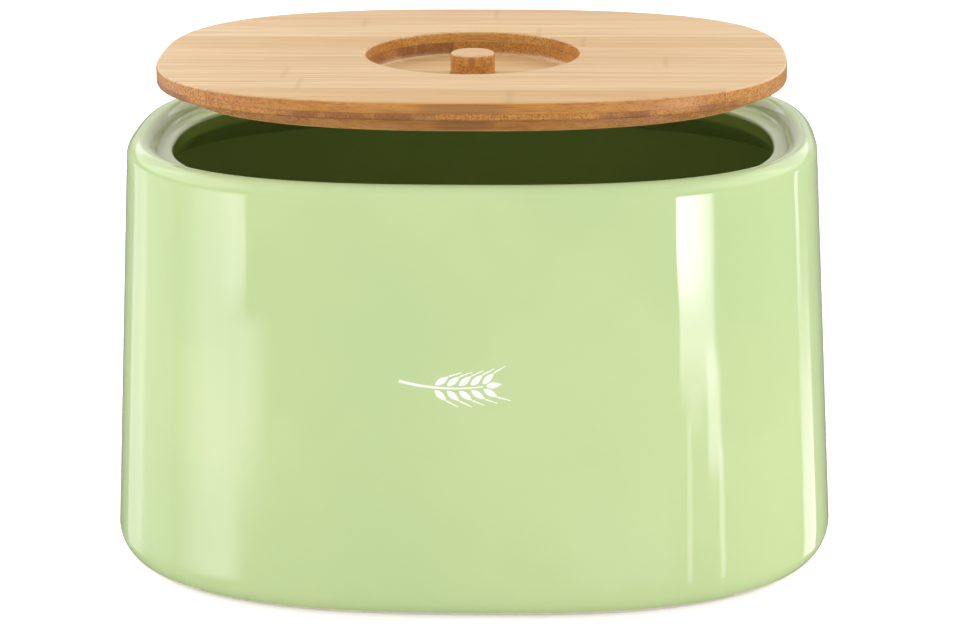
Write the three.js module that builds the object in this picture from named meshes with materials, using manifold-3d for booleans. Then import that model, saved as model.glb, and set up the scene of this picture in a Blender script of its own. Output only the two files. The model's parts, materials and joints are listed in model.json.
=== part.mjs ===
// Ceramic bread box: a glazed oval bin with a recessed ledge inside its rim, and a lift-off lid
// of three-ply bamboo board that drops into the rim. Millimetres, +Z up, the foot stands on z = 0.

import * as THREE from "three";
import { mergeVertices } from "three/addons/utils/BufferGeometryUtils.js";
import Module from "manifold-3d";

// Plan of the bin. Every outline is a rounded oval whose power says how square it is.
const baseWidth = 330;
const baseDepth = 260;
const planPower = 2.73;
const mouthPower = 2.4;

// Bin wall, floor and foot
const bodyHeight = 189;
const wallTaper = 10.3;
const wallThickness = 7;
const floorThickness = 8;
const baseRound = 11;
const insideRound = 16;
const footWidth = 8;
const footRecess = 2.5;
const footEdge = 0.8;

// Rim, the ledge that carries the lid, and the neck below the ledge
const rimOuterRound = 6.5;
const rimInnerRound = 6.2;
const ledgeDrop = 7;
const ledgeWidth = 6.5;
const ledgeFillet = 2.5;
const mouthEdgeRound = 1.6;
const neckHeight = 7;

// Lid board: three plies, a flange that sits on the ledge and a plug that drops into the mouth
const plyThickness = 5;
const plyCount = 3;
const flangeThickness = 8;
const flangeClearance = 1.5;
const plugClearance = 5.9;
const lidEdgeRound = 1.3;

// Finger recess turned into the lid, with a knob left standing in its middle
const recessDiameter = 96;
const recessDepth = 11;
const recessEdgeRound = 1.5;
const recessFloorRound = 3;
const knobDiameter = 20;

// Strips of the board. The middle strip of a ply holds the knob. On each side of it come the strips
// that the recess reaches, up to a joint that lies past its edge, and then those out to the rim.
const stripWidth = 22;
const recessLand = 7.5;
const recessStrips = 2;
const topOuterStrips = 2;
const coreOuterStrips = 4;
const bottomSideStrips = 4;

// How high the lid is held over its seat, and the gap that it keeps there when it is down
const lidLift = 32;
const seatGap = 0.3;
const cutOverrun = 20;

// Number of facets round an outline, round the finger recess and in a small arc
const outlineSteps = 88;
const recessSteps = 48;
const arcSteps = 3;

// Derived sizes. An inset is measured inwards from the widest outline, at the foot of the wall.
const shoulderZ = bodyHeight - rimOuterRound;
const crestInset = wallTaper + rimOuterRound;
const recessWallInset = crestInset + rimInnerRound;
const mouthInset = recessWallInset + ledgeWidth;
const ledgeZ = bodyHeight - ledgeDrop;
const neckBottomZ = ledgeZ - neckHeight;
const flangeInset = recessWallInset + flangeClearance;
const plugInset = mouthInset + plugClearance;
const lidThickness = plyThickness * plyCount;
const plugHeight = lidThickness - flangeThickness;
const lidSeatZ = ledgeZ + seatGap - plugHeight;
const recessJoint = recessDiameter / 2 + recessEdgeRound + recessLand;

const wasm = await Module();
wasm.setup();

// Inset of the outer wall at a height, along its straight taper
function outerInset(z) {
  return wallTaper * (z - baseRound) / (shoulderZ - baseRound);
}

// A point of a profile: how far inside the widest outline, how high, and how square its outline is
function profilePoint(inset, z, power) {
  return { inset, z, power };
}

// Points of an arc in a profile. At 0 degrees a point faces outwards, at 90 it is at the top.
function profileArc(centreInset, centreZ, radius, fromDegrees, toDegrees, power) {
  const points = [];
  for (let step = 0; step <= arcSteps; step += 1) {
    const share = step / arcSteps;
    const angle = THREE.MathUtils.degToRad(fromDegrees + (toDegrees - fromDegrees) * share);
    const inset = centreInset - radius * Math.cos(angle);
    points.push(profilePoint(inset, centreZ + radius * Math.sin(angle), power));
  }
  return points;
}

// One corner of the oval outline that a profile point follows, at a given turn round the plan
function outlineCorner(point, turn) {
  const halfWidth = baseWidth / 2 - point.inset;
  const halfDepth = baseDepth / 2 - point.inset;
  const across = Math.cos(turn);
  const along = Math.sin(turn);
  const x = halfWidth * Math.sign(across) * Math.abs(across) ** (2 / point.power);
  const y = halfDepth * Math.sign(along) * Math.abs(along) ** (2 / point.power);
  return [x, y, point.z];
}

// A closed solid swept round the oval plan. The profile runs from the centre of the underside,
// out and up, and back to the centre of the top; both ends are closed with a fan.
function ovalSweep(profile) {
  const positions = [];
  for (const point of profile) {
    for (let step = 0; step < outlineSteps; step += 1) {
      positions.push(...outlineCorner(point, 2 * Math.PI * step / outlineSteps));
    }
  }
  const lowCentre = profile.length * outlineSteps;
  const highCentre = lowCentre + 1;
  positions.push(0, 0, profile[0].z);
  positions.push(0, 0, profile[profile.length - 1].z);
  const triangles = [];
  for (let step = 0; step < outlineSteps; step += 1) {
    const next = (step + 1) % outlineSteps;
    triangles.push(lowCentre, next, step);
    for (let ring = 0; ring < profile.length - 1; ring += 1) {
      const low = ring * outlineSteps;
      const high = low + outlineSteps;
      triangles.push(low + step, low + next, high + next);
      triangles.push(low + step, high + next, high + step);
    }
    const last = (profile.length - 1) * outlineSteps;
    triangles.push(highCentre, last + step, last + next);
  }
  const geometry = new THREE.BufferGeometry();
  geometry.setAttribute("position", new THREE.Float32BufferAttribute(positions, 3));
  geometry.setIndex(triangles);
  return geometry;
}

// A three.js geometry as a solid that can be cut, and back again
function toSolid(geometry) {
  const bare = new THREE.BufferGeometry();
  bare.setAttribute("position", geometry.getAttribute("position"));
  bare.setIndex(geometry.getIndex());
  const merged = mergeVertices(bare);
  const vertProperties = new Float32Array(merged.getAttribute("position").array);
  const triVerts = new Uint32Array(merged.getIndex().array);
  return new wasm.Manifold(new wasm.Mesh({ numProp: 3, vertProperties, triVerts })).asOriginal();
}

function toGeometry(solid) {
  const mesh = solid.getMesh();
  const geometry = new THREE.BufferGeometry();
  const positions = new Float32Array(mesh.vertProperties);
  geometry.setAttribute("position", new THREE.BufferAttribute(positions, 3));
  geometry.setIndex(new THREE.BufferAttribute(new Uint32Array(mesh.triVerts), 1));
  geometry.computeVertexNormals();
  return geometry;
}

// Bin: foot ring round a recessed underside, tapering wall, round rim, ledge, neck and inside
function binProfile() {
  const footOuter = baseRound;
  const footInner = footOuter + footWidth;
  const wallInside = (z) => outerInset(z) + wallThickness;
  const neckFootZ = neckBottomZ - (mouthInset - wallInside(neckBottomZ));
  const insideRoundZ = floorThickness + insideRound;
  const insideRoundInset = wallInside(insideRoundZ) + insideRound;
  const mouthRoundInset = mouthInset - mouthEdgeRound;
  const mouthRoundZ = ledgeZ - mouthEdgeRound;
  const rimRoundZ = bodyHeight - rimInnerRound;
  const filletZ = ledgeZ + ledgeFillet;
  const filletReach = rimInnerRound + ledgeFillet;
  const meetingAngle = Math.asin((filletZ - rimRoundZ) / filletReach);
  const filletInset = crestInset + filletReach * Math.cos(meetingAngle);
  const meetingDegrees = THREE.MathUtils.radToDeg(meetingAngle);
  return [
    profilePoint(footInner + footRecess, footRecess, planPower),
    profilePoint(footInner, footEdge, planPower),
    profilePoint(footInner - footEdge, 0, planPower),
    ...profileArc(baseRound, baseRound, baseRound, -90, -45, planPower),
    ...profileArc(baseRound, baseRound, baseRound, -45, 0, planPower).slice(1),
    ...profileArc(crestInset, shoulderZ, rimOuterRound, 0, 90, planPower),
    ...profileArc(crestInset, rimRoundZ, rimInnerRound, 90, 180 - meetingDegrees, planPower).slice(1),
    ...profileArc(filletInset, filletZ, ledgeFillet, -meetingDegrees, -90, planPower).slice(1),
    ...profileArc(mouthRoundInset, mouthRoundZ, mouthEdgeRound, 90, 180, mouthPower),
    profilePoint(mouthInset, neckBottomZ, mouthPower),
    profilePoint(wallInside(neckFootZ), neckFootZ, planPower),
    ...profileArc(insideRoundInset, insideRoundZ, insideRound, 0, -45, planPower),
    ...profileArc(insideRoundInset, insideRoundZ, insideRound, -45, -90, planPower).slice(1),
  ];
}

// Lid blank: plug below, flange above, with eased edges; z = 0 is the underside of the plug
function lidBlankProfile() {
  const round = lidEdgeRound;
  return [
    ...profileArc(plugInset + round, round, round, -90, 0, mouthPower),
    profilePoint(plugInset, plugHeight, mouthPower),
    ...profileArc(flangeInset + round, plugHeight + round, round, -90, 0, planPower),
    ...profileArc(flangeInset + round, lidThickness - round, round, 0, 90, planPower),
  ];
}

// Finger recess: its section runs down the knob's side, round the floor and up to the eased edge
function fingerRecess() {
  const knobRadius = knobDiameter / 2;
  const outerRadius = recessDiameter / 2;
  const floorRoundZ = lidThickness - recessDepth + recessFloorRound;
  const edgeZ = lidThickness - recessEdgeRound;
  const topZ = lidThickness + cutOverrun;
  const outline = new THREE.Path();
  const addArc = (x, z, radius, fromDegrees, toDegrees) => {
    const from = THREE.MathUtils.degToRad(fromDegrees);
    const to = THREE.MathUtils.degToRad(toDegrees);
    outline.absarc(x, z, radius, from, to, to < from);
  };
  outline.moveTo(knobRadius - recessEdgeRound, topZ);
  addArc(knobRadius - recessEdgeRound, edgeZ, recessEdgeRound, 90, 0);
  addArc(knobRadius + recessFloorRound, floorRoundZ, recessFloorRound, 180, 270);
  addArc(outerRadius - recessFloorRound, floorRoundZ, recessFloorRound, 270, 360);
  addArc(outerRadius + recessEdgeRound, edgeZ, recessEdgeRound, 180, 90);
  outline.lineTo(outerRadius + recessEdgeRound, topZ);
  outline.closePath();
  const section = outline.getPoints(arcSteps);
  const geometry = new THREE.LatheGeometry(section, recessSteps);
  geometry.rotateX(Math.PI / 2);
  return toSolid(geometry);
}

// A block that cuts one strip out of the board. The strip runs along its own long direction.
function stripBlock(lowZ, highZ, lowAcross, highAcross, runsAlongX) {
  const length = baseWidth + 2 * cutOverrun;
  const across = highAcross - lowAcross;
  const geometry = new THREE.BoxGeometry(
    runsAlongX ? length : across, runsAlongX ? across : length, highZ - lowZ);
  const centre = (lowAcross + highAcross) / 2;
  geometry.translate(runsAlongX ? 0 : centre, runsAlongX ? centre : 0, (lowZ + highZ) / 2);
  return toSolid(geometry);
}

// Where the strips of a ply meet, from its middle outwards and then mirrored. A span runs from the
// joint before it to its end and is filled with equal strips.
function stripJoints(spans) {
  const joints = [stripWidth / 2];
  for (const span of spans) {
    const start = joints[joints.length - 1];
    for (let strip = 1; strip <= span.strips; strip += 1) {
      joints.push(start + (span.end - start) * strip / span.strips);
    }
  }
  const mirrored = joints.map((joint) => -joint).reverse();
  return [...mirrored, ...joints];
}

// The three plies, from below. The core runs across the other two.
const recessSpan = { end: recessJoint, strips: recessStrips };
const plies = [
  {
    name: "lid_bottom_strip",
    runsAlongX: true,
    spans: [{ end: baseDepth / 2 - plugInset, strips: bottomSideStrips }],
  },
  {
    name: "lid_core_strip",
    runsAlongX: false,
    spans: [recessSpan, { end: baseWidth / 2 - flangeInset, strips: coreOuterStrips }],
  },
  {
    name: "lid_top_strip",
    runsAlongX: true,
    spans: [recessSpan, { end: baseDepth / 2 - flangeInset, strips: topOuterStrips }],
  },
];

// What the pieces of a strip are called where the finger recess cuts right through it
const pieceNames = {
  along: { 1: [""], 2: ["_left", "_right"], 3: ["_left", "_knob", "_right"] },
  across: { 1: [""], 2: ["_front", "_back"], 3: ["_front", "_knob", "_back"] },
};

const glaze = new THREE.MeshStandardMaterial({ color: 0xc8dca0, roughness: 0.12, metalness: 0 });
const bambooShades = [0xe0bf8f, 0xd8b47f, 0xe6c99c, 0xc99b62].map(
  (color) => new THREE.MeshStandardMaterial({ color, roughness: 0.55, metalness: 0 }));

// Middle of a solid along one axis, to put the pieces of a strip in order
function middle(solid, axis) {
  const box = solid.boundingBox();
  return (box.min[axis] + box.max[axis]) / 2;
}

// Every strip of one ply as its own mesh, cut from the finished board
function plyMeshes(board, ply, plyIndex) {
  const lowZ = plyIndex * plyThickness;
  const joints = stripJoints(ply.spans);
  const count = joints.length - 1;
  const axis = ply.runsAlongX ? 0 : 1;
  const names = ply.runsAlongX ? pieceNames.along : pieceNames.across;
  const meshes = [];
  for (let strip = 0; strip < count; strip += 1) {
    const lowAcross = strip === 0 ? joints[0] - cutOverrun : joints[strip];
    const highAcross = strip === count - 1 ? joints[count] + cutOverrun : joints[strip + 1];
    const block = stripBlock(lowZ, lowZ + plyThickness, lowAcross, highAcross, ply.runsAlongX);
    const pieces = board.intersect(block).decompose();
    pieces.sort((a, b) => middle(a, axis) - middle(b, axis));
    pieces.forEach((piece, order) => {
      const shade = bambooShades[(strip * plyCount + plyIndex) % bambooShades.length];
      const mesh = new THREE.Mesh(toGeometry(piece), shade);
      const number = String(strip + 1).padStart(2, "0");
      mesh.name = `${ply.name}_${number}${names[pieces.length][order]}`;
      meshes.push(mesh);
    });
  }
  return meshes;
}

function makeBin() {
  const bin = new THREE.Mesh(ovalSweep(binProfile()), glaze);
  bin.name = "ceramic_bin";
  return bin;
}

function makeLid() {
  const board = toSolid(ovalSweep(lidBlankProfile())).subtract(fingerRecess());
  const lid = new THREE.Group();
  plies.forEach((ply, index) => {
    lid.add(...plyMeshes(board, ply, index));
  });
  lid.position.z = lidSeatZ + lidLift;
  return lid;
}

const breadBox = new THREE.Group();
breadBox.add(makeBin(), makeLid());

export default breadBox;
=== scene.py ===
import json
import math
import random

import bmesh
import bpy
from mathutils import Matrix, Vector


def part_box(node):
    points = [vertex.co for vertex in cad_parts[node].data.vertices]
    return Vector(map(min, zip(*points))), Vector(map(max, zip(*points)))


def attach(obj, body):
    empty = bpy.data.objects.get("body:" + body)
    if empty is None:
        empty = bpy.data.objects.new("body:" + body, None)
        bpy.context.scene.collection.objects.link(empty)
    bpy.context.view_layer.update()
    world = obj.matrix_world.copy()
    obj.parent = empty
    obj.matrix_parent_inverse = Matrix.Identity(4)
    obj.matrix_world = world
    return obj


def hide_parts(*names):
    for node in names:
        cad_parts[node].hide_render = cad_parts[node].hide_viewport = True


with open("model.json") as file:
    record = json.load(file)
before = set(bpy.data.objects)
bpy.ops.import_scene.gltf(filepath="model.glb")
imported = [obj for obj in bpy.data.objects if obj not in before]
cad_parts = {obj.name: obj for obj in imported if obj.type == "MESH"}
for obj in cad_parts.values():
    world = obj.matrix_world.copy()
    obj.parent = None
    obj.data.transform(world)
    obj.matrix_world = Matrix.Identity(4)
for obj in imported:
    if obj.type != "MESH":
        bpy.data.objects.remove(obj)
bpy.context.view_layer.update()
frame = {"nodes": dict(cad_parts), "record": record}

MM = 0.001

# Plan and profile of the bin, in metres. Insets are measured inwards from the widest outline.
BIN_LOW, BIN_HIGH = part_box("ceramic_bin")
HALF_WIDTH = (BIN_HIGH[0] - BIN_LOW[0]) / 2
HALF_DEPTH = (BIN_HIGH[1] - BIN_LOW[1]) / 2
BODY_HEIGHT = BIN_HIGH[2]
PLAN_POWER = 2.73
MOUTH_POWER = 2.4
WALL_TAPER = 10.3 * MM
WALL_THICKNESS = 7 * MM
FLOOR_THICKNESS = 8 * MM
BASE_ROUND = 11 * MM
INSIDE_ROUND = 16 * MM
FOOT_WIDTH = 8 * MM
FOOT_RECESS = 2.5 * MM
FOOT_EDGE = 0.8 * MM
RIM_OUTER_ROUND = 6.5 * MM
RIM_INNER_ROUND = 6.2 * MM
LEDGE_DROP = 7 * MM
LEDGE_WIDTH = 6.5 * MM
LEDGE_FILLET = 2.5 * MM
MOUTH_EDGE_ROUND = 1.6 * MM
NECK_HEIGHT = 7 * MM
NECK_EDGE_ROUND = 3 * MM

# Bare clay reaches from the underside, whose faces point down by this share, up to the glaze line
GLAZE_LINE = 1.1 * MM
UNDERSIDE_SHARE = 0.7

# Lid board
PLY_THICKNESS = 5 * MM
PLY_COUNT = 3
FLANGE_THICKNESS = 8 * MM
FLANGE_CLEARANCE = 1.5 * MM
PLUG_CLEARANCE = 5.9 * MM
LID_EDGE_ROUND = 1.3 * MM
RECESS_DIAMETER = 96 * MM
RECESS_DEPTH = 11 * MM
RECESS_EDGE_ROUND = 1.5 * MM
RECESS_FLOOR_ROUND = 3 * MM
KNOB_DIAMETER = 20 * MM

# Printed ear of wheat on the front. Angles are in radians.
EAR_CENTRE_X = -3.5 * MM
EAR_CENTRE_Z = 105 * MM
EAR_LENGTH = 46 * MM
EAR_SAG = 3 * MM
EAR_PAIRS = 5
EAR_START_SHARE = 0.33
EAR_END_SHARE = 0.77
STEM_WIDTH = 1.3 * MM
STEM_STEPS = 18
STEM_TURN_SHARE = 0.01
GRAIN_LENGTH = 7 * MM
GRAIN_WIDTH = 2.7 * MM
GRAIN_OFFSET = 1.1 * MM
GRAIN_ANGLE = 0.66
GRAIN_BELLY_POWER = 0.8
GRAIN_STEPS = 10
AWN_LENGTH = 5.5 * MM
AWN_WIDTH = 0.7 * MM
AWN_ANGLE = 0.4
AWN_STEPS = 6
LINE_TAPER_SHARE = 0.6

# How proud of the wall the print is, and the share of it by which each outline is prouder than the last
PRINT_PROUD = 0.05 * MM
PRINT_LAYER_SHARE = 0.01

# Fineness of the modelled surfaces
PLAN_SAMPLES = 4096
OUTLINE_STEPS = 288
BOARD_STEPS = 240
RECESS_STEPS = 144
WALL_STEPS = 24
ARC_STEPS = 8
EDGE_STEPS = 5
SMOOTH_ANGLE = math.radians(32)

# Places closer together than this count as one, and in a cut those closer than a tenth of it
TOUCH = 0.01 * MM
CUT_TOUCH = TOUCH / 10

# Finishes, with colours as they show on screen, 0 to 255, and the scales of noises in waves per metre
WHITE = (1, 1, 1, 1)

# A blend is a low and a high input, and what comes out at each. Of two colours the first is for the low.
OUTER_GLAZE = ((188, 210, 151), (196, 214, 155))
# Painted light: the ledge's glaze is paler than the wall's, to lift the shadow that the lid casts on the
# ledge
LEDGE_GLAZE_PAINTED_LIGHT = ((210, 229, 168), (216, 233, 172))
# Painted shade: the inside's glaze is darker and deeper green than the wall's, for the shade inside the bin
INNER_GLAZE_PAINTED_SHADE = ((151, 172, 88), (157, 176, 92))
GLAZE_CLOUD = {"scale": 9, "detail": 3}
GLAZE_CLOUD_BLEND = (0.35, 0.65, 0, 1)
GLAZE_WAVE = {"scale": 16, "detail": 1}
GLAZE_WAVE_BUMP = {"strength": 0.5, "distance": 0.9 * MM}
GLAZE_PEEL = {"scale": 260, "detail": 2}
GLAZE_PEEL_BUMP = {"strength": 0.12, "distance": 0.12 * MM}
GLAZE_ROUGHNESS = 0.32
GLAZE_COAT_ROUGHNESS = 0.035
GLAZE_COAT_IOR = 1.52

# Towards the top the glaze is paler, by these shares on the rim's crest, where it lies thinner, and on the
# ledge, where the paleness is painted light against the lid's shadow
THIN_GLAZE_AND_PAINTED_LIGHT = (220, 232, 184)
THIN_GLAZE_DROP = 2.2 * MM
CREST_THIN_SHARE = 0.15
LEDGE_PAINTED_LIGHT_SHARE = 0.4

ENAMEL_COLOURS = ((250, 251, 247), (241, 244, 234))
ENAMEL_GRAIN = {"scale": 700, "detail": 2}
ENAMEL_BLEND = (0.3, 0.7, 0, 1)
ENAMEL_ROUGHNESS = 0.3

CLAY_COLOURS = ((240, 234, 212), (228, 219, 194))
CLAY_GRAIN = {"scale": 900, "detail": 4}
CLAY_BLEND = (0.35, 0.7, 0, 1)
CLAY_BUMP = {"strength": 0.4, "distance": 0.1 * MM}
CLAY_ROUGHNESS = 0.85

# Bamboo, in strips that draw their tone from their slot's range and the place where their grain starts
STRIP_SEED = 11
STRIP_TONES = {"bamboo_light": (0, 0.25), "bamboo_mid": (0.35, 0.6), "bamboo_dark": (0.9, 1)}
STRIP_OFFSETS = (0, 10)
MIDDLE_TONE_BLEND = (0, 0.6, 0, 1)
DARK_TONE_BLEND = (0.6, 1, 0, 1)

# Noises drawn out along the fibres, with one scale along them and one across
BAMBOO_NOISES = {
    "broad": {"along": 5, "across": 170, "detail": 2, "roughness": 0.5, "distortion": 0.3},
    "streak": {"along": 9, "across": 900, "detail": 3, "roughness": 0.6},
    "fine": {"along": 30, "across": 2600, "detail": 2, "roughness": 0.6},
}

# Sanded faces: the colours of a light, a middling and a dark strip, and the grain that is laid over them,
# noise by noise, each with its blend and its colour
FACE_COLOURS = ((228, 196, 146), (217, 178, 124), (160, 112, 64))
FACE_GRAIN = (
    ("broad", (0.35, 0.7, 0, 0.45), (203, 156, 98)),
    ("streak", (0.48, 0.7, 0, 0.6), (190, 140, 84)),
    ("fine", (0.52, 0.72, 0, 0.4), (164, 114, 64)),
)

# Sawn sides, in deeper colours: partly the bamboo's own colour there, partly painted shade
SAWN_COLOURS_WITH_PAINTED_SHADE = ((206, 150, 72), (194, 131, 50), (146, 94, 50))
SAWN_GRAIN = (
    ("streak", (0.42, 0.66, 0, 0.65), (160, 97, 34)),
    ("broad", (0.4, 0.7, 0, 0.4), (212, 154, 86)),
    ("fine", (0.5, 0.68, 0, 0.5), (142, 87, 32)),
)

# Knuckles of the cane: a faint band across a strip, now and then
KNUCKLE_SPACING = 230 * MM
KNUCKLE_WOBBLE = 3 * MM
KNUCKLE_WAVE = {"scale": 60, "detail": 1}
KNUCKLE_BLEND = (0, 0.009, 0.22, 0)
KNUCKLE_COLOUR = (166, 116, 68)

# Ends of fibres: dots on a side, which show more where it cuts across the fibres
FIBRE_END_SCALE = 1000
FIBRE_END_BLEND = (0.2, 0.5, 1, 0)
FIBRE_CUT_BLEND = (0.2, 0.6, 0.1, 0.6)
FIBRE_END_COLOUR = (112, 66, 28)

# Where a face is a sawn side: it stands upright, or it looks down from above the lid's own underside
SIDE_BLEND = (0.35, 0.85, 1, 0)
DOWNWARD_BLEND = (-0.3, 0, 1, 0)
ROUTED_RISE = 1 * MM

# Glue lines between strips and between plies, as grooves in the oiled wood
GLUE_COLOUR = (126, 82, 42)
STRIP_GLUE_BLEND = (0.98, 0.996, 0, 0.45)
PLY_GLUE_BLEND = (0.93, 0.985, 0, 0.6)
GLUE_BUMP = {"strength": 0.35, "distance": -0.12 * MM}
STREAK_BUMP = {"strength": 0.25, "distance": 0.12 * MM}
BAMBOO_ROUGHNESS_BLEND = (0.3, 0.7, 0.38, 0.52)
BAMBOO_COAT = 0.12
BAMBOO_COAT_ROUGHNESS = 0.3

# Camera, as fitted to the photograph's outline, with its angles in radians
CAMERA_DISTANCE = 1.199
CAMERA_HEIGHT = 0.464
CAMERA_OFFSET = 0.0026
CAMERA_PITCH = 0.306
CAMERA_HEADING = 0.042
CAMERA_ROLL = -0.006

# It looks a little higher than in the photograph, to keep the lid's top in the picture
LID_HEADROOM = 0.0081

# Its focal length and the picture's width are in pixels, the sensor's width in millimetres
FOCAL_PIXELS = 2702
PICTURE_WIDTH = 960
SENSOR_WIDTH = 36

# Floor, with the glow that makes it white to the camera
FLOOR_HALF_SIZE = 6
FLOOR_COLOUR = (247, 247, 246)
FLOOR_ROUGHNESS = 0.6
FLOOR_WHITE = 0.42

# Surroundings: how bright they are to the camera and in reflections, and their light elsewhere, which falls
# off between two shares of the height of the sky
BACKDROP_WHITE = 1
SURROUND_GLOSS = 0.2
HORIZON_LIGHT = 1.29
HORIZON_SHARE = 0.2
ZENITH_LIGHT = 0.3
ZENITH_SHARE = 0.9

# Soft panels, by their directions in degrees: azimuth 0 is in front of the object, 90 to its right
PANEL_DISTANCE = 2.4
PANEL_TARGET = (0, 0, 0.1)
LOW_PANEL_COLOUR = (1, 0.85, 1.08)

# Name, azimuths, elevations, brightness, and shares over which the left, right, low and high edges fade
LOW_PANELS = (
    ("left_softbox", (-86, -44), (-23, 5), 2.8, (0.65, 0.25, 0.12, 0.1)),
    ("left_glow", (-126, -76), (-23, 5), 0.7, (0.3, 0.3, 0.12, 0.1)),
    ("left_softbox_top", (-60, -46.3), (-9.3, 5), 2.4, (1.0, 0.03, 0.1, 0.1)),
    ("left_bulge", (-52, -35.5), (-17, -8.9), 2.3, (0.4, 0.55, 0.75, 0.05)),
    ("left_edge", (-137, -110), (-25, 5), 0.9, (0.2, 0.3, 0.1, 0.1)),
    ("front_glow", (8, 38), (-19, -12.5), 0.4, (0.2, 0.15, 0.2, 0.4)),
    ("right_strip", (39.5, 57), (-9.9, 5), 8.5, (0.04, 0.75, 0.25, 0.05)),
    ("right_strip_tail", (39.5, 57), (-12, 5), 4.6, (0.04, 0.2, 0.1, 0.05)),
    ("right_strip_side", (49.5, 58), (-14.5, -10), 4.4, (0.3, 0.3, 0.3, 0.3)),
    ("right_strip_fleck", (42, 50), (-13.2, -11), 1.3, (0.3, 0.4, 0.5, 0.2)),
    ("right_line_left", (41.5, 44), (-20, -11.5), 2.2, (0.3, 0.3, 0.1, 0.1)),
    ("right_line_right", (55, 58.5), (-20, -13), 3.0, (0.3, 0.4, 0.1, 0.1)),
    ("right_edge_line", (117, 123), (-14, 5), 2.2, (0.2, 0.4, 0.3, 0.1)),
    ("right_edge", (116, 134), (-27, -9), 2.0, (0.2, 0.1, 0.1, 0.6)),
)
HIGH_PANEL_COLOUR = (1, 1, 1)
HIGH_PANELS = (
    ("front_top", (-60, 60), (30, 72), 0.25, (0.2, 0.2, 0.4, 0.2)),
    ("left_top", (-130, -60), (16, 62), 1.6, (0.3, 0.3, 0.2, 0.2)),
    ("right_top", (60, 130), (16, 62), 1.6, (0.3, 0.3, 0.2, 0.2)),
    ("left_back", (-168, -112), (13, 52), 1.1, (0.15, 0.3, 0.1, 0.2)),
    ("right_back", (112, 168), (13, 52), 1.1, (0.3, 0.15, 0.1, 0.2)),
    ("back_low", (145, 215), (2, 26), 0.55, (0.2, 0.2, 0.2, 0.2)),
    ("overhead", (-40, 40), (72, 118), 0.35, (0.2, 0.2, 0.2, 0.2)),
)

# Derived places
SHOULDER_Z = BODY_HEIGHT - RIM_OUTER_ROUND
CREST_INSET = WALL_TAPER + RIM_OUTER_ROUND
RECESS_WALL_INSET = CREST_INSET + RIM_INNER_ROUND
MOUTH_INSET = RECESS_WALL_INSET + LEDGE_WIDTH
LEDGE_Z = BODY_HEIGHT - LEDGE_DROP
NECK_BOTTOM_Z = LEDGE_Z - NECK_HEIGHT
FLANGE_INSET = RECESS_WALL_INSET + FLANGE_CLEARANCE
PLUG_INSET = MOUTH_INSET + PLUG_CLEARANCE
LID_THICKNESS = PLY_THICKNESS * PLY_COUNT
PLUG_HEIGHT = LID_THICKNESS - FLANGE_THICKNESS
LID_NODES = sorted(name for name in frame["nodes"] if name.startswith("lid_"))
LID_BOTTOM_Z = min(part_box(name)[0][2] for name in LID_NODES)


# Shapes shared by the bin and the lid

def outer_inset(z):
    """How far inside the widest outline the tapering wall stands at a height."""
    return WALL_TAPER * (z - BASE_ROUND) / (SHOULDER_Z - BASE_ROUND)


def circle_arc(centre_x, centre_z, radius, start, end, steps=EDGE_STEPS):
    """Points of an arc, in degrees: 0 faces along x, 90 is the top."""
    points = []
    for step in range(steps + 1):
        angle = math.radians(start + (end - start) * step / steps)
        points.append((centre_x + radius * math.cos(angle), centre_z + radius * math.sin(angle)))
    return points


def arc(centre_inset, centre_z, radius, start, end, power, steps=ARC_STEPS):
    """Profile points of an arc, each with its inset, height and power: 0 degrees faces outwards."""
    points = circle_arc(-centre_inset, centre_z, radius, start, end, steps)
    return [(-x, z, power) for x, z in points]


def between(first, last, steps):
    """Points that divide the line from one profile point to another, without its ends."""
    points = []
    for step in range(1, steps):
        share = step / steps
        points.append(tuple(a + (b - a) * share for a, b in zip(first, last)))
    return points


def outline_corner(inset, power, turn):
    """A corner of the rounded oval whose power says how square it is."""
    half_width = HALF_WIDTH - inset
    half_depth = HALF_DEPTH - inset
    across, along = math.cos(turn), math.sin(turn)
    x = half_width * math.copysign(abs(across) ** (2 / power), across)
    y = half_depth * math.copysign(abs(along) ** (2 / power), along)
    return x, y


def even_turns(steps):
    """Turns that space the corners of the outline evenly along its length."""
    lengths = [0.0]
    last = outline_corner(0, PLAN_POWER, 0)
    for sample in range(1, PLAN_SAMPLES + 1):
        corner = outline_corner(0, PLAN_POWER, 2 * math.pi * sample / PLAN_SAMPLES)
        lengths.append(lengths[-1] + math.dist(last, corner))
        last = corner
    turns = []
    index = 0
    for step in range(steps):
        target = lengths[-1] * step / steps
        while lengths[index + 1] < target:
            index += 1
        span = lengths[index + 1] - lengths[index]
        turns.append(2 * math.pi * (index + (target - lengths[index]) / span) / PLAN_SAMPLES)
    return turns


def bridge(builder, low, high):
    """Four-sided faces from one closed ring of vertices to another."""
    for step in range(len(low)):
        after = (step + 1) % len(low)
        builder.faces.new((low[step], low[after], high[after], high[step]))


def new_piece(name, builder):
    """Turns mesh-building data into an object of the scene."""
    mesh = bpy.data.meshes.new(name)
    builder.to_mesh(mesh)
    builder.free()
    piece = bpy.data.objects.new(name, mesh)
    bpy.context.scene.collection.objects.link(piece)
    return piece


def sweep(name, profile, steps, base_z=0.0):
    """A solid swept round the oval plan, whose first and last rings are closed with flat faces."""
    turns = even_turns(steps)
    builder = bmesh.new()
    rings = []
    for inset, z, power in profile:
        corners = [outline_corner(inset, power, turn) for turn in turns]
        rings.append([builder.verts.new((x, y, z + base_z)) for x, y in corners])
    for low, high in zip(rings, rings[1:]):
        bridge(builder, low, high)
    builder.faces.new(rings[0][::-1])
    builder.faces.new(rings[-1])
    return new_piece(name, builder)


def smooth(piece):
    """Shades a piece smoothly, apart from its sharp edges."""
    piece.data.shade_smooth()
    piece.data.set_sharp_from_angle(angle=SMOOTH_ANGLE)


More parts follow.
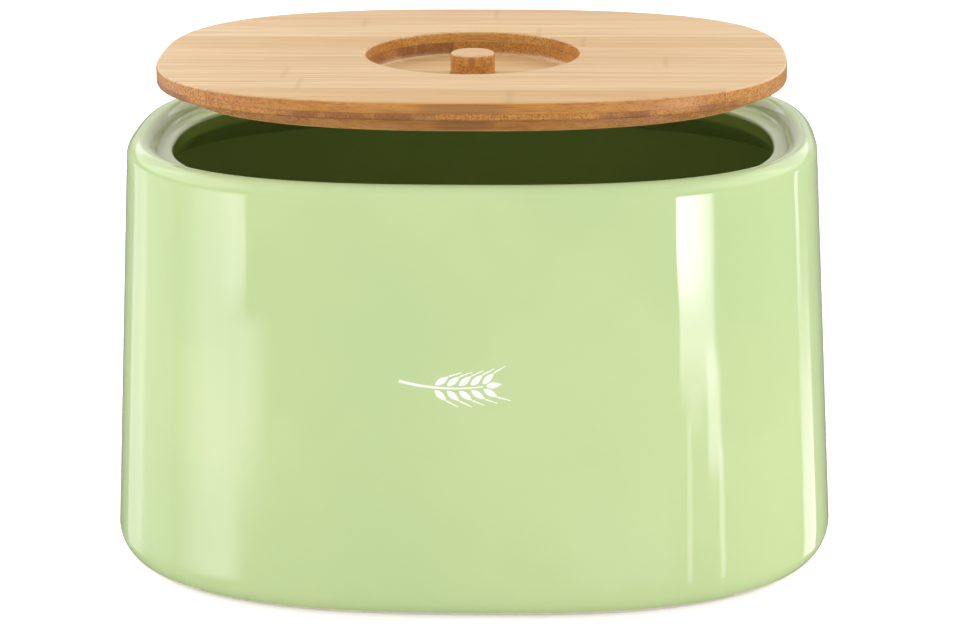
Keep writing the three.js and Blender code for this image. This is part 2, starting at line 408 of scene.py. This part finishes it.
def corner_bounds(verts):
    """The lowest and the highest corner of some vertices."""
    low = Vector(min(vert.co[axis] for vert in verts) for axis in range(3))
    high = Vector(max(vert.co[axis] for vert in verts) for axis in range(3))
    return low, high


# Bin

def wall_inside(z):
    """How far inside the widest outline the wall's inner face stands at a height."""
    return outer_inset(z) + WALL_THICKNESS


def outside_profile():
    """From the underside's recess round the foot and up the wall to the rim's crest."""
    foot_inner = BASE_ROUND + FOOT_WIDTH
    wall_foot = (0, BASE_ROUND, PLAN_POWER)
    wall_top = (WALL_TAPER, SHOULDER_Z, PLAN_POWER)
    return [
        (foot_inner + FOOT_RECESS, FOOT_RECESS, PLAN_POWER),
        (foot_inner, FOOT_EDGE, PLAN_POWER),
        (foot_inner - FOOT_EDGE, 0, PLAN_POWER),
        *arc(BASE_ROUND, BASE_ROUND, BASE_ROUND, -90, 0, PLAN_POWER, 2 * ARC_STEPS),
        *between(wall_foot, wall_top, WALL_STEPS),
        *arc(CREST_INSET, SHOULDER_Z, RIM_OUTER_ROUND, 0, 90, PLAN_POWER),
    ]


def ledge_profile():
    """From the rim's crest down an S-curve to the ledge, and over it to the mouth."""
    rim_z = BODY_HEIGHT - RIM_INNER_ROUND
    fillet_z = LEDGE_Z + LEDGE_FILLET
    reach = RIM_INNER_ROUND + LEDGE_FILLET
    meeting = math.asin((fillet_z - rim_z) / reach)
    fillet_inset = CREST_INSET + reach * math.cos(meeting)
    turn = math.degrees(meeting)
    mouth_round_inset = MOUTH_INSET - MOUTH_EDGE_ROUND
    mouth_round_z = LEDGE_Z - MOUTH_EDGE_ROUND
    return [
        *arc(CREST_INSET, rim_z, RIM_INNER_ROUND, 90, 180 - turn, PLAN_POWER)[1:],
        *arc(fillet_inset, fillet_z, LEDGE_FILLET, -turn, -90, PLAN_POWER)[1:],
        *arc(mouth_round_inset, mouth_round_z, MOUTH_EDGE_ROUND, 90, 180, MOUTH_POWER),
    ]


def inside_profile():
    """From the mouth down the neck and the inside of the wall to the floor."""
    neck_edge_z = NECK_BOTTOM_Z + NECK_EDGE_ROUND * math.tan(math.pi / 8)
    neck_foot_z = NECK_BOTTOM_Z - (MOUTH_INSET - wall_inside(NECK_BOTTOM_Z))
    round_z = FLOOR_THICKNESS + INSIDE_ROUND
    round_inset = wall_inside(round_z) + INSIDE_ROUND
    inner_top = (wall_inside(neck_foot_z), neck_foot_z, PLAN_POWER)
    inner_foot = (wall_inside(round_z), round_z, PLAN_POWER)
    return [
        *arc(MOUTH_INSET - NECK_EDGE_ROUND, neck_edge_z, NECK_EDGE_ROUND, 180, 225, MOUTH_POWER),
        inner_top,
        *between(inner_top, inner_foot, WALL_STEPS),
        *arc(round_inset, round_z, INSIDE_ROUND, 0, -90, PLAN_POWER, 2 * ARC_STEPS),
    ]


def make_bin(outer_glaze, ledge_glaze_painted_light, inner_glaze_painted_shade, clay):
    """The bin in one piece, with its finish by place: bare clay underneath, and three glazes above."""
    outside = outside_profile()
    ledge = ledge_profile()
    piece = sweep("glazed_bin", outside + ledge + inside_profile(), OUTLINE_STEPS)
    smooth(piece)
    finishes = [outer_glaze, ledge_glaze_painted_light, inner_glaze_painted_shade, clay]
    for material in finishes:
        piece.data.materials.append(material)
    ledge_ring = len(outside) - 1
    inside_ring = len(outside) + len(ledge) - 1
    for face in piece.data.polygons:
        is_foot = max(piece.data.vertices[i].co.z for i in face.vertices) < GLAZE_LINE
        is_underside = face.normal.z < -UNDERSIDE_SHARE and face.center.z < BASE_ROUND / 2
        ring = min(face.vertices) // OUTLINE_STEPS
        if is_foot or is_underside:
            finish = clay
        # The inside's glaze is darker by painted shade
        elif ring >= inside_ring:
            finish = inner_glaze_painted_shade
        # The ledge's glaze is paler by painted light
        elif ring >= ledge_ring:
            finish = ledge_glaze_painted_light
        else:
            finish = outer_glaze
        face.material_index = finishes.index(finish)
    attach(piece, "bin")
    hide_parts("ceramic_bin")


# Printed ear of wheat. Its outlines are drawn as x and z and then laid on the front wall.

def wall_point(x, z, proud):
    """A point on the front wall, or a little proud of it."""
    inset = outer_inset(z) - proud
    share = abs(x / (HALF_WIDTH - inset))
    return x, -(HALF_DEPTH - inset) * (1 - share ** PLAN_POWER) ** (1 / PLAN_POWER), z


def moved(point, turn, along, out=0.0):
    """A point moved along a direction, and out to the left of it."""
    x, z = point
    return (x + along * math.cos(turn) - out * math.sin(turn),
            z + along * math.sin(turn) + out * math.cos(turn))


def direction(before, after):
    """The turn of the line from one point to another."""
    return math.atan2(after[1] - before[1], after[0] - before[0])


def line_outline(points, width):
    """A thin strip along a row of points, which narrows to its end."""
    left, right = [], []
    last = len(points) - 1
    for index, point in enumerate(points):
        turn = direction(points[max(index - 1, 0)], points[min(index + 1, last)])
        half = width / 2 * (1 - LINE_TAPER_SHARE * index / last)
        left.append(moved(point, turn, 0, half))
        right.append(moved(point, turn, 0, -half))
    return left + right[::-1]


def stem_point(share):
    """A point of the stem, which sags in a shallow curve."""
    x = EAR_CENTRE_X + EAR_LENGTH * (share - 1 / 2)
    return x, EAR_CENTRE_Z + EAR_SAG * (4 * (share - 1 / 2) ** 2 - 1 / 3)


def stem_turn(share):
    """The direction of the stem at a share of its length."""
    return direction(stem_point(share - STEM_TURN_SHARE), stem_point(share + STEM_TURN_SHARE))


def grain_outline(start, turn):
    """A pointed grain that grows from a point in a direction."""
    points = []
    for step in range(2 * GRAIN_STEPS):
        share = step / GRAIN_STEPS
        side = 1 if share <= 1 else -1
        run = share if share <= 1 else 2 - share
        out = side * GRAIN_WIDTH / 2 * math.sin(math.pi * run ** GRAIN_BELLY_POWER)
        points.append(moved(start, turn, GRAIN_LENGTH * run, out))
    return points


def awn_outline(start, turn):
    """The bristle that goes on from a grain's tip."""
    runs = [AWN_LENGTH * step / AWN_STEPS for step in range(AWN_STEPS + 1)]
    return line_outline([moved(start, turn, run) for run in runs], AWN_WIDTH)


def wheat_ear_outlines():
    """The stem, the pairs of grains with their awns, and the grain at the tip."""
    stem = [stem_point(EAR_END_SHARE * step / STEM_STEPS) for step in range(STEM_STEPS + 1)]
    outlines = [line_outline(stem, STEM_WIDTH)]
    for pair in range(EAR_PAIRS):
        share = EAR_START_SHARE + (EAR_END_SHARE - EAR_START_SHARE) * pair / (EAR_PAIRS - 1)
        turn = stem_turn(share)
        for side in (-1, 1):
            start = moved(stem_point(share), turn, 0, side * GRAIN_OFFSET)
            grain_turn = turn + side * GRAIN_ANGLE
            tip = moved(start, grain_turn, GRAIN_LENGTH)
            outlines.append(grain_outline(start, grain_turn))
            outlines.append(awn_outline(tip, turn + side * AWN_ANGLE))
    turn = stem_turn(EAR_END_SHARE)
    start = moved(stem_point(EAR_END_SHARE), turn, GRAIN_OFFSET)
    outlines.append(grain_outline(start, turn))
    return outlines


def make_wheat_ear(material):
    """A thin film of enamel, in which each outline is a little prouder than the last."""
    builder = bmesh.new()
    for number, outline in enumerate(wheat_ear_outlines()):
        proud = PRINT_PROUD * (1 + PRINT_LAYER_SHARE * number)
        front = [builder.verts.new(wall_point(x, z, proud)) for x, z in outline]
        back = [builder.verts.new(wall_point(x, z, -PRINT_PROUD)) for x, z in outline]
        builder.faces.new(front)
        builder.faces.new(back[::-1])
        # Not bridge(): each face starts at a front corner, which decides the diagonal it is split along
        for step in range(len(front)):
            after = (step + 1) % len(front)
            builder.faces.new((front[step], back[step], back[after], front[after]))
    bmesh.ops.recalc_face_normals(builder, faces=builder.faces)
    piece = new_piece("wheat_ear_print", builder)
    piece.data.materials.append(material)
    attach(piece, "bin")


# Lid

def board_profile():
    """From the underside of the plug out over the flange to the top."""
    edge = LID_EDGE_ROUND
    return [
        *arc(PLUG_INSET + edge, edge, edge, -90, 0, MOUTH_POWER, EDGE_STEPS),
        (PLUG_INSET, PLUG_HEIGHT, MOUTH_POWER),
        *arc(FLANGE_INSET + edge, PLUG_HEIGHT + edge, edge, -90, 0, PLAN_POWER, EDGE_STEPS),
        *arc(FLANGE_INSET + edge, LID_THICKNESS - edge, edge, 0, 90, PLAN_POWER, EDGE_STEPS),
    ]


def recess_section():
    """Radius and height down the knob's side, over the recess floor and up its outer wall."""
    knob = KNOB_DIAMETER / 2
    outer = RECESS_DIAMETER / 2
    edge = RECESS_EDGE_ROUND
    fillet = RECESS_FLOOR_ROUND
    floor_z = LID_THICKNESS - RECESS_DEPTH
    edge_z = LID_THICKNESS - edge
    over_z = LID_THICKNESS + RECESS_DEPTH
    return [
        (knob - edge, over_z),
        *circle_arc(knob - edge, edge_z, edge, 90, 0),
        *circle_arc(knob + fillet, floor_z + fillet, fillet, 180, 270),
        *circle_arc(outer - fillet, floor_z + fillet, fillet, 270, 360),
        *circle_arc(outer + edge, edge_z, edge, 180, 90),
        (outer + edge, over_z),
    ]


def make_recess_cutter():
    """A ring with the section of the finger recess."""
    builder = bmesh.new()
    rings = []
    for step in range(RECESS_STEPS):
        turn = 2 * math.pi * step / RECESS_STEPS
        ring = []
        for radius, z in recess_section():
            corner = (radius * math.cos(turn), radius * math.sin(turn), z + LID_BOTTOM_Z)
            ring.append(builder.verts.new(corner))
        rings.append(ring)
    for low, high in zip(rings, rings[1:] + rings[:1]):
        bridge(builder, low, high)
    bmesh.ops.recalc_face_normals(builder, faces=builder.faces)
    return new_piece("recess_cutter", builder)


def make_board():
    """The whole board with its finger recess, before it is parted into strips."""
    board = sweep("board", board_profile(), BOARD_STEPS, LID_BOTTOM_Z)
    cutter = make_recess_cutter()
    cut = board.modifiers.new("recess", "BOOLEAN")
    cut.operation = "DIFFERENCE"
    cut.solver = "EXACT"
    cut.object = cutter
    bpy.context.view_layer.update()
    finished = board.evaluated_get(bpy.context.evaluated_depsgraph_get())
    shape = bpy.data.meshes.new_from_object(finished)
    bpy.data.objects.remove(board)
    bpy.data.objects.remove(cutter)
    return shape


def strip_groups():
    """The lid's nodes by ply and strip number, as in lid_core_strip_07_front."""
    groups = {}
    for name in LID_NODES:
        _, ply, _, number, *_ = name.split("_")
        groups.setdefault((ply, number), []).append(name)
    return groups


def strip_planes(names, across_axis, board_low, board_high):
    """The planes that part one strip from the board, as points and outward normals."""
    boxes = [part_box(name) for name in names if "knob" not in name]
    planes = []
    for axis in (across_axis, 2):
        low = min(box[0][axis] for box in boxes)
        high = max(box[1][axis] for box in boxes)
        normal = Vector((0, 0, 0))
        normal[axis] = 1
        if low > board_low[axis] + TOUCH:
            planes.append((normal * low, -normal))
        if high < board_high[axis] - TOUCH:
            planes.append((normal * high, normal))
    return planes


def cut_away(builder, point, normal):
    """Removes what lies past a plane and closes the cut."""
    everything = builder.verts[:] + builder.edges[:] + builder.faces[:]
    made = bmesh.ops.bisect_plane(
        builder, geom=everything, plane_co=point, plane_no=normal, clear_outer=True, dist=CUT_TOUCH)
    edges = [item for item in made["geom_cut"] if isinstance(item, bmesh.types.BMEdge)]
    bmesh.ops.holes_fill(builder, edges=edges, sides=0)


def separate_solids(builder):
    """Groups of joined vertices, one for each separate solid."""
    remaining = set(builder.verts)
    groups = []
    while remaining:
        start = remaining.pop()
        group = {start}
        front = [start]
        while front:
            vert = front.pop()
            for edge in vert.link_edges:
                other = edge.other_vert(vert)
                if other not in group:
                    group.add(other)
                    front.append(other)
        remaining -= group
        groups.append(group)
    return groups


def middle(box):
    """The middle of a box that is given by its lowest and highest corner."""
    low, high = box
    return (Vector(low) + Vector(high)) / 2


def nearest_solid(groups, node):
    """The group of vertices whose middle lies nearest to a node's."""
    target = middle(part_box(node))
    return min(groups, key=lambda group: (middle(corner_bounds(group)) - target).length)


def copy_of_solid(builder, group):
    """Mesh-building data with one group of vertices and no others."""
    part = builder.copy()
    part.verts.ensure_lookup_table()
    kept = {vert.index for vert in group}
    spare = [vert for vert in part.verts if vert.index not in kept]
    bmesh.ops.delete(part, geom=spare, context="VERTS")
    return part


def store_number(mesh, name, values):
    """Keeps one number for each vertex, for the material to read by name."""
    attribute = mesh.attributes.new(name, "FLOAT", "POINT")
    attribute.data.foreach_set("value", values)


def finish_strip(piece, node, across_axis, material, tone, offset):
    """Gives a strip its material and the numbers that its grain is worked out from."""
    low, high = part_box(node)
    mesh = piece.data
    smooth(piece)
    corners = [vert.co for vert in mesh.vertices]
    width = high[across_axis] - low[across_axis]
    centre = (high[across_axis] + low[across_axis]) / 2
    store_number(mesh, "across", [2 * (corner[across_axis] - centre) / width for corner in corners])
    store_number(mesh, "height", [(corner.z - low[2]) / PLY_THICKNESS for corner in corners])
    store_number(mesh, "tone", [tone] * len(corners))
    store_number(mesh, "offset", [offset] * len(corners))
    mesh.materials.append(material)
    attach(piece, "lid")
    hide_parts(node)


def make_lid(lengthwise, crosswise, slots):
    """Parts the board into its strips and their pieces. The core's strips run across the lid."""
    shape = make_board()
    board_low, board_high = corner_bounds(shape.vertices)
    draw = random.Random(STRIP_SEED)
    for (ply, number), names in sorted(strip_groups().items()):
        material, across_axis = (crosswise, 0) if ply == "core" else (lengthwise, 1)
        tone = draw.uniform(*STRIP_TONES[slots[names[0]]])
        offset = draw.uniform(*STRIP_OFFSETS)
        builder = bmesh.new()
        builder.from_mesh(shape)
        for point, normal in strip_planes(names, across_axis, board_low, board_high):
            cut_away(builder, point, normal)
        groups = separate_solids(builder)
        for name in names:
            part = copy_of_solid(builder, nearest_solid(groups, name))
            piece = new_piece("bamboo_" + name.removeprefix("lid_"), part)
            finish_strip(piece, name, across_axis, material, tone, offset)
        builder.free()
    bpy.data.meshes.remove(shape)


# Nodes

class Nodes:
    """Short ways to add and join the nodes of one tree."""

    def __init__(self, tree):
        self.tree = tree

    def add(self, kind, **settings):
        node = self.tree.nodes.new(kind)
        for key, value in settings.items():
            setattr(node, key, value)
        return node

    def feed(self, node, inputs):
        """Gives a node its inputs, each an output to link or a number, vector or colour to set."""
        for key, source in inputs.items():
            if isinstance(source, (int, float, tuple)):
                node.inputs[key].default_value = source
            else:
                self.tree.links.new(source, node.inputs[key])
        return node

    def split(self, vector):
        """A vector's outputs, by the names X, Y and Z or by number."""
        return self.feed(self.add("ShaderNodeSeparateXYZ"), {0: vector}).outputs

    def math(self, operation, first, second=0.0):
        node = self.add("ShaderNodeMath", operation=operation)
        return self.feed(node, {0: first, 1: second}).outputs[0]

    def vector_math(self, operation, first, second):
        node = self.add("ShaderNodeVectorMath", operation=operation)
        return self.feed(node, {0: first, 1: second}).outputs[0]

    def noise(self, vector, scale, detail, roughness=0.5, distortion=0.0):
        node = self.add("ShaderNodeTexNoise")
        self.feed(node, {"Vector": vector, "Scale": scale, "Detail": detail,
                         "Roughness": roughness, "Distortion": distortion})
        return node.outputs["Fac"]

    def blend(self, value, stops):
        """Runs smoothly from one output to another as a value goes from low to high."""
        low, high, out_low, out_high = stops
        node = self.add("ShaderNodeMapRange", interpolation_type="SMOOTHSTEP")
        self.feed(node, {"Value": value, "From Min": low, "From Max": high,
                         "To Min": out_low, "To Max": out_high})
        return node.outputs["Result"]

    def mix(self, factor, first, second):
        """Mixes two colours, which are sockets 6 and 7 of the node, with its output 2 as the result."""
        node = self.add("ShaderNodeMix", data_type="RGBA")
        return self.feed(node, {0: factor, 6: first, 7: second}).outputs[2]

    def bump(self, height, strength, distance, under=None):
        node = self.add("ShaderNodeBump")
        self.feed(node, {"Strength": strength, "Distance": distance, "Height": height})
        if under is not None:
            self.feed(node, {"Normal": under})
        return node.outputs["Normal"]

    def attribute(self, name):
        return self.add("ShaderNodeAttribute", attribute_name=name).outputs["Fac"]

    def coordinates(self, kind):
        return self.add("ShaderNodeTexCoord").outputs[kind]

    def background(self, strength):
        node = self.add("ShaderNodeBackground")
        return self.feed(node, {"Color": WHITE, "Strength": strength}).outputs[0]


class Surface(Nodes):
    """The nodes of a new material, and the shader that they lead to."""

    def __init__(self, name):
        self.material = bpy.data.materials.new(name)
        self.material.use_nodes = True
        super().__init__(self.material.node_tree)
        self.tree.nodes.clear()
        self.shader = self.add("ShaderNodeBsdfPrincipled")
        self.feed(self.add("ShaderNodeOutputMaterial"), {"Surface": self.shader.outputs["BSDF"]})


def rgb(red, green, blue):
    """A colour given as it shows on screen, 0 to 255, in the linear form that materials take."""
    channels = []
    for value in (red, green, blue):
        share = value / 255
        channels.append(share / 12.92 if share <= 0.04045 else ((share + 0.055) / 1.055) ** 2.4)
    return (*channels, 1.0)


# Materials

def clouded(nodes, value, blend, colours):
    """A colour that goes from one of two to the other as a value goes through a blend."""
    first, second = colours
    return nodes.mix(nodes.blend(value, blend), rgb(*first), rgb(*second))


def make_glaze(name, colours, thin_glaze_and_painted_light_blend):
    """Glossy glaze that clouds softly between two colours and is paler near the top: on the crest where it
    lies thinner, and on the ledge as painted light.

    How pale it is there is a blend by height. Its colour is dull, and the clear coat over it mirrors.
    """
    nodes = Surface(name)
    place = nodes.coordinates("Object")
    colour = clouded(nodes, nodes.noise(place, **GLAZE_CLOUD), GLAZE_CLOUD_BLEND, colours)
    thin_glaze_and_painted_light_share = nodes.blend(nodes.split(place)["Z"], thin_glaze_and_painted_light_blend)
    waved = nodes.bump(nodes.noise(place, **GLAZE_WAVE), **GLAZE_WAVE_BUMP)
    peeled = nodes.bump(nodes.noise(place, **GLAZE_PEEL), **GLAZE_PEEL_BUMP, under=waved)
    nodes.feed(nodes.shader, {
        "Base Color": nodes.mix(thin_glaze_and_painted_light_share, colour, rgb(*THIN_GLAZE_AND_PAINTED_LIGHT)),
        "Roughness": GLAZE_ROUGHNESS,
        "Specular IOR Level": 0,
        "Normal": peeled,
        "Coat Weight": 1,
        "Coat Roughness": GLAZE_COAT_ROUGHNESS,
        "Coat IOR": GLAZE_COAT_IOR,
        "Coat Normal": waved,
    })
    return nodes.material


def make_enamel():
    """White enamel of the print, with a faint grain."""
    nodes = Surface("white_enamel")
    grain = nodes.noise(nodes.coordinates("Object"), **ENAMEL_GRAIN)
    nodes.feed(nodes.shader, {
        "Base Color": clouded(nodes, grain, ENAMEL_BLEND, ENAMEL_COLOURS),
        "Roughness": ENAMEL_ROUGHNESS,
    })
    return nodes.material


def make_clay():
    """Rough cream clay, where the foot is left unglazed."""
    nodes = Surface("bare_clay")
    grain = nodes.noise(nodes.coordinates("Object"), **CLAY_GRAIN)
    nodes.feed(nodes.shader, {
        "Base Color": clouded(nodes, grain, CLAY_BLEND, CLAY_COLOURS),
        "Roughness": CLAY_ROUGHNESS,
        "Normal": nodes.bump(grain, **CLAY_BUMP),
    })
    return nodes.material


def fibre_noise(nodes, place, fibre_axis, along, across, **look):
    """A noise drawn out along the fibres, which takes its scale from its coordinates."""
    scale = [across, across, across]
    scale[fibre_axis] = along
    return nodes.noise(nodes.vector_math("MULTIPLY", place, tuple(scale)), 1, **look)


def bamboo_colour(nodes, colours, grain, noises):
    """The colour of a strip by its tone, with its grain laid over it."""
    light, middling, dark = colours
    tone = nodes.attribute("tone")
    colour = clouded(nodes, tone, MIDDLE_TONE_BLEND, (light, middling))
    colour = nodes.mix(nodes.blend(tone, DARK_TONE_BLEND), colour, rgb(*dark))
    for key, blend, grain_colour in grain:
        colour = nodes.mix(nodes.blend(noises[key], blend), colour, rgb(*grain_colour))
    return colour


def knuckle_share(nodes, place, fibre_axis):
    """How much of a knuckle's band shows at a place along the strip."""
    wobble = nodes.math("MULTIPLY", nodes.noise(place, **KNUCKLE_WAVE), KNUCKLE_WOBBLE)
    run = nodes.math("ADD", nodes.split(place)[fibre_axis], wobble)
    run = nodes.math("FRACT", nodes.math("DIVIDE", run, KNUCKLE_SPACING))
    distance = nodes.math("ABSOLUTE", nodes.math("SUBTRACT", run, 0.5))
    return nodes.blend(distance, KNUCKLE_BLEND)


def fibre_end_share(nodes, place, normal_along):
    """How much the dots of the fibres' ends show, by how far the face looks along the fibres."""
    dots = nodes.feed(nodes.add("ShaderNodeTexVoronoi"), {"Vector": place, "Scale": FIBRE_END_SCALE})
    cut = nodes.blend(nodes.math("ABSOLUTE", normal_along), FIBRE_CUT_BLEND)
    return nodes.math("MULTIPLY", nodes.blend(dots.outputs["Distance"], FIBRE_END_BLEND), cut)


def side_share(nodes, normal_up):
    """1 on upright sides and on the flange's underside, 0 on the board's top and bottom."""
    upright = nodes.blend(nodes.math("ABSOLUTE", normal_up), SIDE_BLEND)
    routed_z = LID_BOTTOM_Z + ROUTED_RISE
    height = nodes.split(nodes.coordinates("Object"))["Z"]
    raised = nodes.blend(height, (routed_z, routed_z + ROUTED_RISE, 0, 1))
    routed = nodes.math("MULTIPLY", nodes.blend(normal_up, DOWNWARD_BLEND), raised)
    return nodes.math("MAXIMUM", upright, routed)


def glue_share(nodes, side):
    """How much of the glue lines shows at the edges of a strip and, on its sides, of its ply."""
    across = nodes.math("ABSOLUTE", nodes.attribute("across"))
    doubled = nodes.math("MULTIPLY", nodes.attribute("height"), 2)
    upwards = nodes.math("ABSOLUTE", nodes.math("SUBTRACT", doubled, 1))
    ply_line = nodes.math("MULTIPLY", nodes.blend(upwards, PLY_GLUE_BLEND), side)
    return nodes.math("MAXIMUM", nodes.blend(across, STRIP_GLUE_BLEND), ply_line)


def make_bamboo(name, fibre_axis):
    """Laminated bamboo with its fibres along X (0) or Y (1)."""
    nodes = Surface(name)
    place = nodes.vector_math("ADD", nodes.coordinates("Object"), nodes.attribute("offset"))
    normal = nodes.split(nodes.coordinates("Normal"))
    noises = {}
    for key, look in BAMBOO_NOISES.items():
        noises[key] = fibre_noise(nodes, place, fibre_axis, **look)

    knuckle = knuckle_share(nodes, place, fibre_axis)
    face = bamboo_colour(nodes, FACE_COLOURS, FACE_GRAIN, noises)
    face = nodes.mix(knuckle, face, rgb(*KNUCKLE_COLOUR))
    ends = fibre_end_share(nodes, place, normal[fibre_axis])
    # Sawn sides are darker: partly the bamboo's own colour, partly painted shade
    sawn_with_painted_shade = bamboo_colour(nodes, SAWN_COLOURS_WITH_PAINTED_SHADE, SAWN_GRAIN, noises)
    sawn_with_painted_shade = nodes.mix(ends, sawn_with_painted_shade, rgb(*FIBRE_END_COLOUR))
    side = side_share(nodes, normal["Z"])
    glue = glue_share(nodes, side)
    grooved = nodes.bump(noises["streak"], **STREAK_BUMP)
    nodes.feed(nodes.shader, {
        "Base Color": nodes.mix(glue, nodes.mix(side, face, sawn_with_painted_shade), rgb(*GLUE_COLOUR)),
        "Roughness": nodes.blend(noises["streak"], BAMBOO_ROUGHNESS_BLEND),
        "Normal": nodes.bump(glue, **GLUE_BUMP, under=grooved),
        "Coat Weight": BAMBOO_COAT,
        "Coat Roughness": BAMBOO_COAT_ROUGHNESS,
    })
    return nodes.material


# Studio

def make_floor():
    """A pale floor that looks white to the camera wherever the object throws no shadow."""
    builder = bmesh.new()
    corners = []
    for x, y in ((-1, -1), (1, -1), (1, 1), (-1, 1)):
        corners.append(builder.verts.new((x * FLOOR_HALF_SIZE, y * FLOOR_HALF_SIZE, 0)))
    builder.faces.new(corners)
    floor = new_piece("floor", builder)
    nodes = Surface("pale_floor")
    seen = nodes.add("ShaderNodeLightPath").outputs["Is Camera Ray"]
    nodes.feed(nodes.shader, {
        "Base Color": rgb(*FLOOR_COLOUR),
        "Roughness": FLOOR_ROUGHNESS,
        "Emission Color": WHITE,
        "Emission Strength": nodes.math("MULTIPLY", seen, FLOOR_WHITE),
    })
    floor.data.materials.append(nodes.material)
    floor.visible_glossy = False


def make_world():
    """White to the camera, dim in reflections, and otherwise an even light that falls off upwards."""
    world = bpy.data.worlds.new("studio")
    bpy.context.scene.world = world
    world.use_nodes = True
    nodes = Nodes(world.node_tree)
    nodes.tree.nodes.clear()
    height = nodes.split(nodes.coordinates("Generated"))["Z"]
    fall = nodes.blend(height, (HORIZON_SHARE, ZENITH_SHARE, HORIZON_LIGHT, ZENITH_LIGHT))
    light = nodes.background(fall)
    rays = nodes.add("ShaderNodeLightPath").outputs
    for ray, strength in (("Is Glossy Ray", SURROUND_GLOSS), ("Is Camera Ray", BACKDROP_WHITE)):
        mix = nodes.add("ShaderNodeMixShader")
        light = nodes.feed(mix, {0: rays[ray], 1: light, 2: nodes.background(strength)}).outputs[0]
    nodes.feed(nodes.add("ShaderNodeOutputWorld"), {"Surface": light})


def fade_panel(lamp_data, fade_shares):
    """Lets a lamp's light fade towards its left, right, low and high edges."""
    lamp_data.use_nodes = True
    nodes = Nodes(lamp_data.node_tree)
    emission = next(node for node in nodes.tree.nodes if node.type == "EMISSION")
    place = nodes.split(nodes.add("ShaderNodeNewGeometry").outputs["Parametric"])
    strength = 1.0
    for axis, (first, last) in (("X", fade_shares[:2]), ("Y", fade_shares[2:])):
        for blend in ((0, first, 0, 1), (1, 1 - last, 0, 1)):
            strength = nodes.math("MULTIPLY", strength, nodes.blend(place[axis], blend))
    nodes.feed(emission, {"Strength": strength})


def make_panel(colour, name, azimuths, elevations, brightness, fade_shares):
    """A soft lamp that fills a range of directions, as bright whatever its size."""
    azimuth = math.radians(sum(azimuths) / 2)
    elevation = math.radians(sum(elevations) / 2)
    outwards = Vector((math.sin(azimuth) * math.cos(elevation),
                       -math.cos(azimuth) * math.cos(elevation), math.sin(elevation)))
    half_width = math.radians(azimuths[1] - azimuths[0]) / 2
    half_height = math.radians(elevations[1] - elevations[0]) / 2
    data = bpy.data.lights.new(name, "AREA")
    data.shape = "RECTANGLE"
    data.size = 2 * PANEL_DISTANCE * math.tan(half_width)
    data.size_y = 2 * PANEL_DISTANCE * math.tan(half_height)
    data.energy = brightness * math.pi * data.size * data.size_y
    data.color = colour
    fade_panel(data, fade_shares)
    lamp = bpy.data.objects.new(name, data)
    lamp.location = Vector(PANEL_TARGET) + outwards * PANEL_DISTANCE
    lamp.rotation_euler = (-outwards).to_track_quat("-Z", "Y").to_euler()
    lamp.visible_camera = False
    bpy.context.scene.collection.objects.link(lamp)


def make_camera():
    """The view of the photograph."""
    data = bpy.data.cameras.new("photo_camera")
    data.sensor_width = SENSOR_WIDTH
    data.lens = FOCAL_PIXELS * SENSOR_WIDTH / PICTURE_WIDTH
    camera = bpy.data.objects.new("photo_camera", data)
    heading = Matrix.Rotation(CAMERA_HEADING, 4, "Z")
    place = heading @ Vector((CAMERA_OFFSET, -CAMERA_DISTANCE, CAMERA_HEIGHT))
    pitch = Matrix.Rotation(math.pi / 2 - CAMERA_PITCH + LID_HEADROOM, 4, "X")
    roll = Matrix.Rotation(CAMERA_ROLL, 4, "Z")
    camera.matrix_world = Matrix.Translation(place) @ heading @ pitch @ roll
    bpy.context.scene.collection.objects.link(camera)
    bpy.context.scene.camera = camera


def main():
    make_camera()
    slots = {row["node"]: row["material_slot"] for row in frame["record"]["subparts"]}
    thin_z = BODY_HEIGHT - THIN_GLAZE_DROP
    outer_thinness = (thin_z, BODY_HEIGHT, 0, CREST_THIN_SHARE)
    # The ledge is paler by painted light, against the lid's shadow
    ledge_painted_light_and_thin_glaze = (LEDGE_Z, BODY_HEIGHT, LEDGE_PAINTED_LIGHT_SHARE, CREST_THIN_SHARE)
    inner_thinness = (thin_z, BODY_HEIGHT, 0, 0)
    # The inside's glaze carries painted shade
    make_bin(
        make_glaze("apple_green_glaze", OUTER_GLAZE, outer_thinness),
        make_glaze("ledge_glaze_painted_light", LEDGE_GLAZE_PAINTED_LIGHT, ledge_painted_light_and_thin_glaze),
        make_glaze("inner_glaze_painted_shade", INNER_GLAZE_PAINTED_SHADE, inner_thinness),
        make_clay())
    make_wheat_ear(make_enamel())
    make_lid(make_bamboo("bamboo_lengthwise", 0), make_bamboo("bamboo_crosswise", 1), slots)
    make_floor()
    make_world()
    for panel in LOW_PANELS:
        make_panel(LOW_PANEL_COLOUR, *panel)
    for panel in HIGH_PANELS:
        make_panel(HIGH_PANEL_COLOUR, *panel)
    bpy.context.scene.view_settings.view_transform = "Standard"


main()
